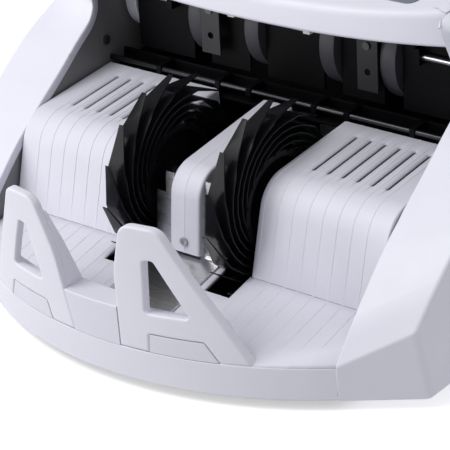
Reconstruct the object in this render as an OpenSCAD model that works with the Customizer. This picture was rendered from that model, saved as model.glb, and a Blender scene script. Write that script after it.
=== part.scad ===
// Banknote counting machine. Notes are taken from a hopper behind the head, run
// down past four rubber drums and are caught by two fingered wheels, which lay
// them on the tray in front. Every module is drawn from the datum: the line on
// the middle plane where the tray floor meets the delivery plates.
// +X is to the right of a person facing the machine, +Y is to its back.

/* [Casing] */
// Half of the overall width
half_w = 153; // [152:0.5:154]
// Wall of the plastic casings
casing_t = 3; // [2.4:0.1:3]
// Height of the datum above the table
datum_z = 38.3; // [38.3:0.1:42]
// Outer face of the rear cover
rear_y = 165; // [165:0.5:168]

/* [Stacker] */
// Pitch of the ribs on the floor and the delivery plates
rib_p = 8.7; // [8.6:0.05:8.7]
// Slope of the tray floor, down to the front
floor_deg = 12.4; // [12:0.1:12.6]
// Centre of each stacker wheel, from the middle plane
wheel_x = 31.67; // [31.5:0.01:31.8]
// Width of a stacker wheel
wheel_w = 13.4; // [12:0.1:13.6]
// Fingers on a stacker wheel
finger_count = 15; // [12:1:15]
// Thickness of one finger
finger_t = 1.1; // [0.9:0.1:1.3]

/* [Note drive] */
// Radius of the counting drums
drum_r = 25.5; // [25:0.1:25.6]
// Radius of the pick-up rollers
pickup_r = 15; // [14.8:0.1:15]
// Radius of the pinch rollers
pinch_r = 7; // [6.5:0.1:7]
// Radius of the main shafts
shaft_r = 4; // [3.5:0.1:4]
// Radial clearance of a shaft in its bush
running_gap = 0.05; // [0.03:0.01:0.08]

/* [Hopper] */
// Slope of the hopper plate, down to the front
hopper_deg = 30; // [29:0.5:30]
// Inner face of each note guide, from the middle plane, at rest
guide_x = 72; // [66:1:76]

/* [Hidden] */

$fn = 64;
front_y = -79.1;
flange_t = 0.8;
datum_y = -(rear_y + flange_t + front_y) / 2;
lip_bottom = -32.3;
lip_top = -13.1;
wall_top = 10;
seam_x = 114;
inner_x = 116.3;
frame_x = 116.7;
frame_t = 1.6;
plate_x = 116;
slot_edge = 40.3;
bridge_x = 9.37;
bracket_x = 21;
gap = 0.3;
cone_y = 120.2;
wheel_c = [28.34, 28.88];
drum_c = [117, 85.3];
pickup_c = [141, 116];
pinch_c = [100.6, 113.9];
motor_c = [130, 12];
stack_motor_c = [62, -8];
drum_x = [-61.5, -24, 24, 61.5];
drum_w = 9;
sheet_t = 1.2;
plate_t = 2.2;
screw_r = 1.4;

white = [0.87, 0.87, 0.92];
black = [0.06, 0.06, 0.07];
steel = [0.62, 0.63, 0.65];
rubber = [0.16, 0.16, 0.18];

// ---- geometry helpers ----
function unit(v) = v / norm(v);
function cone_r(z) = 192.94 + 0.1467 * z;
function turn(v) = [-v[1], v[0]];
function rev(p) = [for (i = [len(p) - 1:-1:0]) p[i]];
// Arc of radius r that rounds the corner a-b-c
function corner(a, b, c, r, n = 6) =
  let (u = unit(a - b), v = unit(c - b), half = acos(u * v) / 2,
       mid = b + unit(u + v) * r / sin(half),
       p = b + u * r / tan(half) - mid, q = b + v * r / tan(half) - mid,
       a0 = atan2(p[1], p[0]), d = atan2(q[1], q[0]) - a0,
       sweep = d > 180 ? d - 360 : d < -180 ? d + 360 : d)
  [for (i = [0:n]) mid + r * [cos(a0 + sweep * i / n), sin(a0 + sweep * i / n)]];
// Closed outline, each corner rounded to its own radius
function rounded(p, r) = let (n = len(p))
  [for (i = [0:n - 1]) each r[i] == 0 ? [p[i]]
    : corner(p[(i + n - 1) % n], p[i], p[(i + 1) % n], r[i])];
// Open path moved sideways by t
function shifted(p, t) = let (n = len(p))
  [for (i = [0:n - 1]) p[i] + t * turn(unit(p[min(i + 1, n - 1)] - p[max(i - 1, 0)]))];
function sheet(p, t) = concat(p, rev(shifted(p, t)));
function floor_z(y) = y * tan(floor_deg);
function hopper_z(y) = 118.5 + (y - 118) * tan(hopper_deg);
function cover_z(y) = 126 + 0.238 * (y - 57);
function lip_y(x) = 51 + 11.3 * pow(x / 100, 2) + 3.4 * pow(x / 100, 4);

module at_datum() translate([0, datum_y, datum_z]) children();
// Y-Z outline carried from x0 to x1
module slab_x(x0, x1) translate([x0, 0, 0]) rotate([90, 0, 90]) linear_extrude(x1 - x0) children();
// X-Z outline carried from y0 to y1
module slab_y(y0, y1) translate([0, y1, 0]) rotate([90, 0, 0]) linear_extrude(y1 - y0) children();
module box(a, b) translate(a) cube(b - a);
module rod_x(x0, x1, c, r) translate([x0, c[0], c[1]]) rotate([0, 90, 0]) cylinder(h = x1 - x0, r = r);
module on_left() mirror([1, 0, 0]) children();
module both() { children(); mirror([1, 0, 0]) children(); }
module ring_x(x0, x1, c, r, bore) difference() {
  rod_x(x0, x1, c, r);
  rod_x(x0 - 1, x1 + 1, c, bore);
}
// Part of the leaning conical front between two heights
module cone_band(z0, z1, t) translate([0, cone_y, 0]) rotate_extrude($fn = 128)
  polygon([[cone_r(z0) - t, z0], [cone_r(z0), z0], [cone_r(z1), z1], [cone_r(z1) - t, z1]]);

// ---- cheeks: a ruled shell between the inner edge and the outer crease ----
cheek_in = [
  [115, -29, -32.3], [114.3, -33.5, -12.6], [116.3, -24.6, 4.2], [116.3, -15.3, 14.2],
  [116.3, 2.6, 32.1], [116.3, 24.1, 48.7], [116.3, 36, 57], [116.3, 47.4, 65.6], [116.3, 55, 71.8],
  [116.3, 68.8, 81.5], [116.3, 72.2, 88], [116.3, 71.5, 92.7], [116.3, 60.2, 114.5],
  [116.3, 53.2, 127.6], [116.3, 56.4, 131.4], [116.3, 66, 133.7], [116.3, 140, 151.3],
  [116.3, 156, 151.3], [116.3, 165, 143], [116.3, 165, -32.3]];
cheek_out = [
  [149.1, -4.6, -32.3], [147, -13.3, 6.8], [149.5, -3.4, 21.6], [151, 8.8, 35.2],
  [152, 20, 45.5], [153, 38.4, 59.6], [153, 47.3, 66], [153, 56.3, 72.3], [153, 67.7, 77.9],
  [153, 79.7, 83.3], [153, 88, 88.5], [153, 89.5, 95], [153, 79, 114.5],
  [153, 74, 125], [153, 76, 129.5], [153, 84, 133.5], [153, 140, 147],
  [153, 154, 147], [153, 162, 140], [153, 162, -32.3]];
cheek_hub = [125, 45];
// Loop of the cheek at u, from the inner edge (0) to the outer crease (1), moved inwards by d
function cheek_loop(u, d) =
  let (p = [for (i = [0:len(cheek_in) - 1]) cheek_in[i] * (1 - u) + cheek_out[i] * u], n = len(p))
  [for (i = [0:n - 1])
    let (a = p[(i + n - 1) % n], b = p[i], c = p[(i + 1) % n],
         m = -turn(unit([b[1] - a[1], b[2] - a[2]])), k = -turn(unit([c[1] - b[1], c[2] - b[2]])),
         s = d * (m + k) / (1 + m * k))
    [b[0], b[1] + s[0], b[2] + s[1]]];
module cheek_block(u0, u1, d) {
  n = len(cheek_in);
  a = cheek_loop(u0, d);
  b = cheek_loop(u1, d);
  x_out = u1 == 1 ? half_w : half_w - casing_t;
  polyhedron(
    points = concat(a, b, [[a[4][0], cheek_hub[0], cheek_hub[1]], [x_out, cheek_hub[0], cheek_hub[1]]]),
    faces = [for (i = [0:n - 1]) let (j = (i + 1) % n)
      each [[i, j, n + j], [i, n + j, n + i], [j, i, 2 * n], [n + i, n + j, 2 * n + 1]]]);
}
module cheek() difference() {
  cheek_block(0, 1, 0);
  cheek_block(-0.12, 1 - casing_t / 36, casing_t);
}
module right_cheek() color(white) at_datum() cheek();
module left_cheek() color(white) at_datum() on_left() cheek();

// ---- base ----
module base_pan() color(steel) at_datum() {
  pan_z = lip_bottom + 0.6;
  difference() {
    intersection() {
      box([-113, -75, pan_z], [113, rear_y - casing_t - gap, pan_z + 1.5]);
      translate([0, cone_y, pan_z - 1]) cylinder(h = 5, r = cone_r(lip_bottom) - casing_t - gap, $fn = 128);
    }
    for (x = [-95:19:95]) box([x - 3, 92, pan_z - 1], [x + 3, 98, pan_z + 3]);
  }
  both() box([111.5, -20, pan_z + 1.5], [113, 150, pan_z + 7]);
}
module rubber_feet() color(rubber) at_datum() for (x = [-90, 90], y = [-10, 146])
  translate([x, y, -datum_z]) cylinder(h = datum_z + lip_bottom + 0.6, r1 = 8, r2 = 9);
module front_lip() color(white) at_datum() intersection() {
  cone_band(lip_bottom, lip_top, casing_t);
  box([-seam_x, -90, lip_bottom - 1], [seam_x, 0, lip_top + 1]);
}

// ---- tray, front wall and guards ----
// Plan outline of the floor, which stays clear of the cheeks' front corners
tray_plan = [[plate_x, 1], [plate_x, -23], [seam_x, -31], [seam_x, -80], [-seam_x, -80], [-seam_x, -31],
             [-plate_x, -23], [-plate_x, 1]];
wall_t = 14.5;
guard_t = 5;
foot_x = 80.6;
wing_t = 7.5;
// X-Z outline of the deep middle of the wall
module wall_middle(grow) polygon([[-14.0 - grow, -20], [14.0 + grow, -20], [17.1 + grow, 20], [-17.1 - grow, 20]]);
// X-Z outline of the wall's thin wings, behind the guards
module wall_wings(grow) polygon([[-foot_x + 3 - grow, -16], [foot_x - 3 + grow, -16],
  [foot_x - 14 + grow, wall_top], [14 - foot_x - grow, wall_top]]);
module stacker_tray() color(white) at_datum() {
  wheel_gap_y = -17.7;
  difference() {
    intersection() {
      slab_x(-plate_x, plate_x)
        polygon([[-0.1, -0.1], [-75, floor_z(-75)], [-75, floor_z(-75) - 2.5], [-0.1, -2.6]]);
      translate([0, cone_y, lip_top + 0.1]) cylinder(h = 20, r1 = cone_r(lip_top) - 0.4, r2 = 194, $fn = 128);
      translate([0, 0, -30]) linear_extrude(40) polygon(tray_plan);
    }
    both() box([24.4, wheel_gap_y, -20], [slot_edge, 1, 5]);
    intersection() {
      cone_band(lip_top - 2, wall_top, wall_t + 0.1);
      slab_y(-90, -30) wall_middle(0.2);
    }
    intersection() {
      cone_band(lip_top - 2, wall_top, wing_t + 0.1);
      slab_y(-90, -30) wall_wings(4.5);
    }
  }
  // Rolled front edge, down to the lip
  intersection() {
    cone_band(lip_top + 0.1, 0, 2.5);
    slab_x(-seam_x, seam_x) polygon([[-75, -20], [-75, floor_z(-75)], [-20, floor_z(-20)], [-20, -20]]);
    both() box([foot_x + 0.4, -90, -20], [seam_x, 0, 10]);
  }
}
module front_wall() color(white) at_datum() {
  intersection() {
    cone_band(lip_top + 0.1, wall_top, wall_t);
    slab_y(-90, -30) wall_middle(0);
  }
  both() intersection() {
    translate([0, cone_y, 0]) rotate_extrude($fn = 128) polygon([
      [cone_r(lip_top + 0.1) - wing_t, lip_top + 0.1], [cone_r(lip_top + 0.1) - guard_t - 0.1, lip_top + 0.1],
      [cone_r(wall_top - 1) - guard_t - 0.1, wall_top - 1], [cone_r(wall_top - 1) - wing_t, wall_top - 1]]);
    slab_y(-90, -30) difference() {
      wall_wings(0);
      polygon([[-90, -20], [12, -20], [14, 20], [-90, 20]]);
    }
  }
  // Blocks that close the guards' notches
  both() intersection() {
    translate([0, cone_y, 0]) rotate_extrude($fn = 128) polygon([
      [cone_r(lip_top + 0.1) - guard_t - 0.6, lip_top + 0.1], [cone_r(lip_top + 0.1) - 0.1, lip_top + 0.1],
      [cone_r(0) - 0.1, 0], [cone_r(0) - guard_t - 0.6, 0]]);
    slab_y(-95, -35) polygon([[32.8, -2.5], [31.1, -14.5], [65.7, -14.5], [60.1, -2.3]]);
  }
}
guard_edge = rounded(
  [[14.4, -13], [17, 14], [18.5, 30], [27, 58.6], [46.5, 58.4], [58.1, 33.8], [71.5, 7.3], [80.8, -13]],
  [0, 30, 60, 8, 7, 60, 60, 0]);
guard_hole = rounded([[36.5, 40.1], [32.3, 9.9], [55.7, 10.4], [41.6, 40.8]], [2, 2, 2, 2]);
guard_notch = rounded([[32.5, -2.1], [30.7, -14.5], [66.3, -14.5], [60.4, -1.9]], [1, 0, 0, 1]);
module guard() {
  difference() {
    intersection() {
      cone_band(lip_top + 0.1, 62, guard_t);
      slab_y(-90, -40) polygon(guard_edge);
    }
    slab_y(-95, -35) polygon(guard_hole);
    slab_y(-95, -35) polygon(guard_notch);
  }
  // Fin along the inner edge, deeper towards its foot
  intersection() {
    translate([0, cone_y, 0]) rotate_extrude($fn = 128)
      polygon([[cone_r(wall_top) - wall_t, wall_top + 0.1], [cone_r(wall_top) - 4, wall_top + 0.1],
               [cone_r(50) - 4, 50], [cone_r(50) - 5.5, 50]]);
    slab_y(-90, -40) polygon([[16.7, 10], [20.2, 10], [22.6, 34], [26.4, 50], [22.9, 50], [19.1, 32]]);
  }
}
module right_guard() color(white) at_datum() guard();
module left_guard() color(white) at_datum() on_left() guard();

// ---- delivery plates and bridge ----
plate_path = concat([[0, 0.1]], corner([0, 0], [12.5, 47.2], [82, 53.4], 19.5, 8), [[82, 53.4]]);
bridge_path = concat([[-1.6, 3.3]], corner([-1.6, 3.3], [2.5, 45], [74.1, 54.3], 16, 8), [[80, 55]]);
// Room under the ribbed sheet: a return along the inner edge is left standing
plate_room = concat([[1.7, -2]], shifted(plate_path, -plate_t), [[84, 51.4]]);
module delivery_plate() difference() {
  slab_x(slot_edge, plate_x) polygon(sheet(plate_path, -11));
  slab_x(slot_edge + 2, plate_x + 1) polygon(sheet(plate_room, -12));
  for (k = [6.5:1:11.5]) translate([k * rib_p, 0, 0])
    box([-1.1, 32.35, 40], [1.1, 71.6, 60]);
}
module right_delivery_plate() color(white) at_datum() delivery_plate();
module left_delivery_plate() color(white) at_datum() on_left() delivery_plate();
screw_z = 9.5;
module bridge() color(white) at_datum() difference() {
  slab_x(-bridge_x, bridge_x) polygon(sheet(bridge_path, -plate_t));
  translate([0, 3, screw_z]) rotate([90, 0, 0]) cylinder(h = 10, r = screw_r + 0.1);
}
// Bent stainless strip: along the floor, then up behind the bridge, where it narrows
module bridge_bracket() color([0.8, 0.8, 0.82]) at_datum() difference() {
  bracket_top = 42;
  bracket_path = concat([[-52, floor_z(-52) + 0.3]],
    corner([-52, floor_z(-52) + 0.3], [2.7, floor_z(2.7) + 0.3], [6.9, bracket_top], 3.5), [[6.9, bracket_top]]);
  intersection() {
    slab_x(-bracket_x, bracket_x) polygon(sheet(bracket_path, 1));
    slab_y(-60, 20) polygon([[-bracket_x, -20], [bracket_x, -20], [bracket_x, 8], [12.5, 50],
      [-12.5, 50], [-bracket_x, 8]]);
  }
  translate([0, 12, screw_z]) rotate([90, 0, 0]) cylinder(h = 20, r = screw_r + 0.1);
  box([-bridge_x - 0.5, 0, 31], [bridge_x + 0.5, 20, bracket_top + 1]);
}
module bridge_screw() color(steel) at_datum() translate([0, 0, screw_z]) rotate([90, 0, 0]) {
  translate([0, 0, -5]) cylinder(h = 6.2, r = screw_r);
  difference() {
    translate([0, 0, 1.2]) cylinder(h = 1.2, r = 2.2);
    for (a = [0, 90]) rotate([0, 0, a]) translate([-1.5, -0.3, 1.8]) cube([3, 0.6, 2]);
  }
}

// ---- frame ----
module shaft_holes() for (c = [wheel_c, drum_c, pickup_c])
  rod_x(frame_x - 3, frame_x + 6, c, 7.05);
module side_frame() difference() {
  loop = cheek_loop(0.033, casing_t + 1.4);
  slab_x(frame_x, frame_x + frame_t) polygon([for (p = loop) [p[1], p[2]]]);
  shaft_holes();
  rod_x(frame_x - 3, frame_x + 6, pinch_c, 3 + running_gap);
  rod_x(frame_x - 3, frame_x + 6, motor_c, 8);
  rod_x(frame_x - 3, frame_x + 6, stack_motor_c, 6);
}
module right_side_frame() color([0.3, 0.3, 0.31]) at_datum() side_frame();
module left_side_frame() color([0.3, 0.3, 0.31]) at_datum() on_left() side_frame();
tie_places = [[84, -10], [154, 60], [152, 100], [158.5, -10]];
module tie_rods() color(steel) at_datum() for (c = tie_places) rod_x(-frame_x, frame_x, c, 3);
frame_screw_places = [[81, 66.6], [96, 124], [20, -18], [146, 128]];
strap_y = 90;
strap_x = 50.2;
module panel_screws() color(steel) at_datum() both() {
  for (c = frame_screw_places) rod_x(frame_x - 1.2, frame_x, c, 2.6);
  translate([strap_x, strap_y, 93.5]) rotate([90, 0, 0]) cylinder(h = 1.1, r = 2.1);
}
module shaft_bushes() color([0.7, 0.6, 0.35]) at_datum() both() for (c = [wheel_c, drum_c, pickup_c])
  ring_x(frame_x - 1.5, frame_x + 3.5, c, 7, shaft_r + running_gap);

// ---- note path ----
rod_c = [84.6, 55.6];
rod_r = 1.6;
comb_x = [-81.5, -41.5, -21, 21, 41.5, 81.5];
module exit_rod() color(steel) at_datum() rod_x(-frame_x, frame_x, rod_c, rod_r);
module exit_comb() color(black) at_datum() for (x = comb_x) difference() {
  slab_x(x - 1.6, x + 1.6) polygon([[82.4, 53.3], [82.4, 57.6], [86, 58.4], [94, 58.4], [94, 51], [84, 51]]);
  rod_x(x - 3, x + 3, rod_c, rod_r + 0.01);
}
module lower_guide() color(black) at_datum() {
  slab_x(-plate_x, plate_x) polygon([[83, 49.5], [94.4, 50.8], [94.4, 58], [96, 58], [96, 49.3], [83, 47.9]]);
  slab_x(-plate_x, plate_x) polygon([[96.1, 49.3], [96.1, 50.8], [146, 56], [146, 54.5]]);
}
guide_y = 97;
guide_top = 106.4;
head_plate_z = 109.6;
guide_rod_c = [95, 92.2];
module upper_guide() color(black) at_datum() {
  difference() {
    box([-plate_x, guide_y, 60], [plate_x, guide_y + 1.5, guide_top]);
    for (x = drum_x) box([x - drum_w / 2 - 1.2, guide_y - 1, 50], [x + drum_w / 2 + 1.2, guide_y + 3, 104]);
    box([-plate_x - 1, guide_y - 1, 50], [-105.5, guide_y + 3, 104]);
  }
  both() difference() {
    box([77, 91.5, 88], [80.5, guide_y, 97]);
    rod_x(70, 90, guide_rod_c, 1.81);
  }
}
module guide_rods() color(steel) at_datum() both() rod_x(78, frame_x, guide_rod_c, 1.8);
module separator_straps() color([0.2, 0.2, 0.22]) at_datum() both() difference() {
  box([strap_x - 6.2, strap_y, 68.7], [strap_x + 6.2, strap_y + sheet_t, head_plate_z]);
  translate([strap_x, strap_y + 5, 79]) rotate([90, 0, 0]) cylinder(h = 10, r = 1.8);
}
module head_plate() color(black) at_datum()
  box([-plate_x, 72, head_plate_z], [plate_x, 92.5, head_plate_z + sheet_t]);
module uv_lamp() color([0.93, 0.92, 0.86]) at_datum() {
  lamp_c = [78, 102.5];
  rod_x(-22, 22, lamp_c, 3);
  both() box([22, 75, 99.5], [26, 81, head_plate_z]);
}

// ---- stacker wheels ----
finger_root_r = 26.4;
finger_wrap = 133;
finger_rise = 21.35;
finger_flare = 4.8;
finger_flare_deg = 22;
first_tip_deg = 179.5;
// Radius of a finger at an angle behind its tip
function finger_r(a) = finger_root_r + finger_rise * (1 - a / finger_wrap)
  + finger_flare * exp(-pow(a / finger_flare_deg, 2));
function polar(r, a) = r * [cos(a), sin(a)];
finger_steps = [0, 8, 16, 26, 38, 54, 74, 96, 116, 133];
// Whole outline: out along each finger's back, over the drum, in along the next one's face
finger_pitch = 360 / finger_count;
wheel_outline = [for (i = [0:finger_count - 1]) each concat(
  [for (a = finger_steps) polar(finger_r(a), a + i * finger_pitch)],
  [polar(finger_root_r - 0.2, finger_wrap + (i + 0.4) * finger_pitch)],
  rev([for (a = finger_steps) polar(finger_r(a) - finger_t, a + (i + 1) * finger_pitch)]))];
module stacker_wheel() translate([wheel_x, wheel_c[0], wheel_c[1]])
  rotate([90, 0, 90]) translate([0, 0, -wheel_w / 2]) difference() {
    rotate([0, 0, first_tip_deg]) linear_extrude(wheel_w) polygon(wheel_outline);
    translate([0, 0, -1]) cylinder(h = wheel_w + 2, r = shaft_r + 0.02);
    for (z = [-wheel_w / 2 - 1, wheel_w / 2 + 1]) translate([0, 0, z]) difference() {
      cylinder(h = wheel_w, r = 23.5);
      cylinder(h = wheel_w, r = 8);
    }
  }
module right_stacker_wheel() color(black) at_datum() stacker_wheel();
module left_stacker_wheel() color(black) at_datum() on_left() stacker_wheel();
module stacker_shaft() color(steel) at_datum() rod_x(-132, 122, wheel_c, shaft_r);
module pulley(x0, x1, c, r, bore) difference() {
  union() {
    rod_x(x0, x1, c, r);
    rod_x(x0, x0 + 1, c, r + 2);
    rod_x(x1 - 1, x1, c, r + 2);
  }
  rod_x(x0 - 1, x1 + 1, c, bore);
}
// Closed belt that clears its two pulleys by the belt gap
belt_gap = 0.3;
belt_t = 1.2;
module belt(x0, x1, a, ra, b, rb) difference() {
  hull() { rod_x(x0, x1, a, ra + belt_gap + belt_t); rod_x(x0, x1, b, rb + belt_gap + belt_t); }
  hull() { rod_x(x0 - 1, x1 + 1, a, ra + belt_gap); rod_x(x0 - 1, x1 + 1, b, rb + belt_gap); }
}
stack_pulley_r = 10;
stack_motor_pulley_r = 7;
module stacker_pulley() color(black) at_datum()
  pulley(-130, -121.5, wheel_c, stack_pulley_r, shaft_r + 0.02);
module stacker_motor_pulley() color(black) at_datum() {
  pulley(-130, -121.5, stack_motor_c, stack_motor_pulley_r, 1.52);
  rod_x(-131, -109, stack_motor_c, 1.5);
}
module stacker_belt() color(rubber) at_datum()
  belt(-128.6, -122.9, wheel_c, stack_pulley_r, stack_motor_c, stack_motor_pulley_r);
module stacker_motor() color(steel) at_datum() difference() {
  rod_x(-114, -72, stack_motor_c, 15);
  rod_x(-116, -108, stack_motor_c, 3);
}

// ---- note drive ----
counting_pulley_r = 17;
idler_pulley_r = 12;
pickup_pulley_r = 15;
motor_pulley_r = 9;
module counting_shaft() color(steel) at_datum() rod_x(-122, 142, drum_c, shaft_r);
module counting_drums() color(rubber) at_datum() for (x = drum_x)
  ring_x(x - drum_w / 2, x + drum_w / 2, drum_c, drum_r, shaft_r + 0.02);
hand_wheel = [-114.5, -107];
hand_wheel_r = 20;
// The two pulleys on the right and the pale wheel that turns the drums by hand on the left
module counting_pulley() color([0.8, 0.8, 0.84]) at_datum() {
  pulley(121.5, 130.5, drum_c, counting_pulley_r, shaft_r + 0.02);
  pulley(132, 140, drum_c, idler_pulley_r, shaft_r + 0.02);
  ring_x(hand_wheel[0], hand_wheel[1], drum_c, hand_wheel_r, shaft_r + 0.02);
}
module pickup_shaft() color(steel) at_datum() {
  rod_x(-122, 142, pickup_c, shaft_r);
  pulley(132, 140, pickup_c, pickup_pulley_r, shaft_r - 0.5);
}
module pickup_rollers() color(rubber) at_datum() both()
  ring_x(33, 47, pickup_c, pickup_r, shaft_r + 0.02);
module pickup_belt() color(rubber) at_datum()
  belt(133.4, 138.6, drum_c, idler_pulley_r, pickup_c, pickup_pulley_r);
module pinch_shaft() color(steel) at_datum() rod_x(-120, 120, pinch_c, 3);
module pinch_rollers() color(rubber) at_datum() for (x = drum_x)
  ring_x(x - 4, x + 4, pinch_c, pinch_r, 3.02);
module main_motor() color(steel) at_datum() difference() {
  rod_x(58, 115, motor_c, 24);
  rod_x(108, 120, motor_c, 5);
}
module main_motor_pulley() color(black) at_datum() {
  pulley(121.5, 130.5, motor_c, motor_pulley_r, 2.52);
  rod_x(109, 132, motor_c, 2.5);
}
module main_belt() color(rubber) at_datum()
  belt(122.9, 129.1, drum_c, counting_pulley_r, motor_c, motor_pulley_r);

// ---- electrics ----
board_z = lip_bottom + 9;
module main_board() color([0.1, 0.35, 0.2]) at_datum() {
  box([-106, 90, board_z], [-8, 154, board_z + 1.6]);
  for (x = [-100, -14], y = [96, 148]) translate([x, y, lip_bottom + 2.1])
    cylinder(h = board_z - lip_bottom - 2.1, r = 3);
  box([-98, 104, board_z + 1.6], [-70, 132, board_z + 5]);
  box([-60, 140, board_z + 1.6], [-20, 150, board_z + 12]);
}
module transformer() color([0.35, 0.3, 0.25]) at_datum() {
  box([-4, 100, lip_bottom + 2.1], [46, 146, lip_bottom + 40]);
  box([6, 92, lip_bottom + 8], [36, 100, lip_bottom + 34]);
  box([6, 146, lip_bottom + 8], [36, 154, lip_bottom + 34]);
}

// ---- head ----
cover_back = 108;
cover_edge = [for (x = [-seam_x:9.5:seam_x]) [x, lip_y(x)]];
module cover_solid(inset, z0) intersection() {
  translate([0, 0, z0]) linear_extrude(60)
    polygon(concat([for (p = cover_edge) [p[0] * (1 - inset / seam_x), p[1] + inset]],
      [[seam_x - inset, cover_back - inset], [inset - seam_x, cover_back - inset]]));
  slab_x(-seam_x - 1, seam_x + 1)
    polygon([[40, 90], [40, cover_z(40) - inset], [120, cover_z(120) - inset], [120, 90]]);
}
panel_y = 81;
panel_deep = 11.3;
panel_half = 92;
panel_t = 1.1;
key_r = 5;
key_places = [[50, panel_y], [65, panel_y], [80, panel_y]];
window = [[-60, -7.5], [30, 7.5]];
knob_y = 98;
// Draws its children on the sloping top of the head
module on_cover(y) translate([0, y, cover_z(y)]) rotate([atan(0.238), 0, 0]) children();
module key_holes(r) for (k = key_places) on_cover(k[1]) translate([k[0], 0, -6]) cylinder(h = 12, r = r);
module top_cover() color(white) at_datum() difference() {
  cover_solid(0, 111);
  cover_solid(casing_t, 105);
  on_cover(panel_y) translate([-panel_half - 0.1, -panel_deep - 0.1, -panel_t - 0.1])
    cube([2 * panel_half + 0.2, 2 * panel_deep + 0.2, 5]);
  key_holes(key_r + 0.6);
  translate([0, knob_y, 120]) cylinder(h = 30, r = 2.6);
  // Room for the pinch shaft and its rollers
  box([-seam_x - 1, 91, 100], [seam_x + 1, cover_back + 1, 122]);
}
module display_panel() color([0.42, 0.44, 0.49]) at_datum() difference() {
  on_cover(panel_y) translate([0, 0, -panel_t]) linear_extrude(panel_t)
    polygon(rounded([[-panel_half, -panel_deep], [panel_half, -panel_deep], [panel_half, panel_deep],
      [-panel_half, panel_deep]], [6, 6, 6, 6]));
  on_cover(panel_y) translate([window[0][0], window[0][1], -3])
    cube([window[1][0] - window[0][0], window[1][1] - window[0][1], 6]);
  key_holes(key_r + 0.4);
}
module display_window() color([0.2, 0.25, 0.2]) at_datum() on_cover(panel_y)
  translate([window[0][0] + 0.1, window[0][1] + 0.1, -panel_t])
    cube([window[1][0] - window[0][0] - 0.2, window[1][1] - window[0][1] - 0.2, 0.9]);
module key(c) color([0.8, 0.8, 0.84]) at_datum() on_cover(c[1])
  translate([c[0], 0, -3.6]) cylinder(h = 5.4, r = key_r);
module key_restart() key(key_places[0]);
module key_function() key(key_places[1]);
module key_batch() key(key_places[2]);
module adjusting_knob() color([0.75, 0.75, 0.8]) at_datum() translate([0, knob_y, 0]) {
  translate([0, 0, 123]) cylinder(h = 16, r = 2.5);
  difference() {
    translate([0, 0, 138.6]) cylinder(h = 8, r = 6);
    for (a = [0:30:330]) rotate([0, 0, a]) translate([6.6, 0, 138]) cylinder(h = 12, r = 1.1);
  }
}

// ---- hopper and rear ----
slot_low = 60;
slot_high = 100;
guide_at = 148;
module on_hopper(y) translate([0, y, hopper_z(y)]) rotate([hopper_deg, 0, 0]) children();
module hopper_plate() color(white) at_datum() difference() {
  slab_x(-plate_x, plate_x) polygon([[114.5, hopper_z(114.5)], [114.5, hopper_z(114.5) - 2.4],
    [rear_y - casing_t - gap, hopper_z(rear_y - casing_t - gap) - 2.4],
    [rear_y - casing_t - gap, hopper_z(rear_y - casing_t - gap)]]);
  both() {
    box([32, 122, 110], [48, 144, 150]);
    on_hopper(guide_at) translate([slot_low, -3.5, -8]) cube([slot_high - slot_low, 7, 16]);
  }
}
module note_guide() on_hopper(guide_at) {
  difference() {
    translate([guide_x, -16, 0.4]) cube([2.5, 28, 17]);
    translate([guide_x - 1, -18, 9]) rotate([30, 0, 0]) cube([5, 10, 30]);
  }
  translate([guide_x + 2.5, -7, 0.4]) cube([12, 14, 2]);
  translate([guide_x + 5, -2.8, -5]) cube([6, 5.6, 5.4]);
  translate([guide_x + 3, -6, -6.6]) cube([10, 12, 1.6]);
}
module right_note_guide() color([0.8, 0.8, 0.84]) at_datum() note_guide();
module left_note_guide() color([0.8, 0.8, 0.84]) at_datum() on_left() note_guide();
rear_top = 147;
inlet_x = -78;
inlet_z = 6;
switch_x = -46;
module inlet_box(x, half_x, half_z, y0, y1)
  box([x - half_x, rear_y + y0, inlet_z - half_z], [x + half_x, rear_y + y1, inlet_z + half_z]);
module rear_cover() color(white) at_datum() difference() {
  box([-plate_x, rear_y - casing_t, lip_bottom], [plate_x, rear_y, rear_top]);
  inlet_box(inlet_x, 14, 10.5, -10, 5);
  inlet_box(switch_x, 12.5, 10.5, -10, 5);
  for (x = [-90:9:-18]) box([x, rear_y - 10, 60], [x + 4, rear_y + 5, 84]);
}
// Mains inlet for a detachable lead, in one moulding with the seat of the switch
module power_inlet() color(black) at_datum() {
  difference() {
    union() {
      inlet_box(inlet_x, 13.9, 10.4, -22, 0);
      inlet_box(switch_x, 12.4, 10.4, -14, 0);
      inlet_box((inlet_x + switch_x) / 2, 33, 12.5, 0, flange_t);
    }
    inlet_box(inlet_x, 12, 8, -18, 2);
    inlet_box(switch_x, 10, 9.4, -12, 2);
  }
  for (p = [[-7, -2.5], [0, 2.5], [7, -2.5]]) translate([p[0], 0, p[1]]) inlet_box(inlet_x, 1, 2, -19, -5);
}
module power_switch() color([0.5, 0.08, 0.08]) at_datum() translate([0, rear_y - 4, inlet_z])
  union() {
    rotate([-8, 0, 0]) box([switch_x - 9.4, -3, -8.6], [switch_x + 9.4, 3.4, 8.6]);
    rod_x(switch_x - 9.8, switch_x + 9.8, [0, 0], 1.5);
  }

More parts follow.
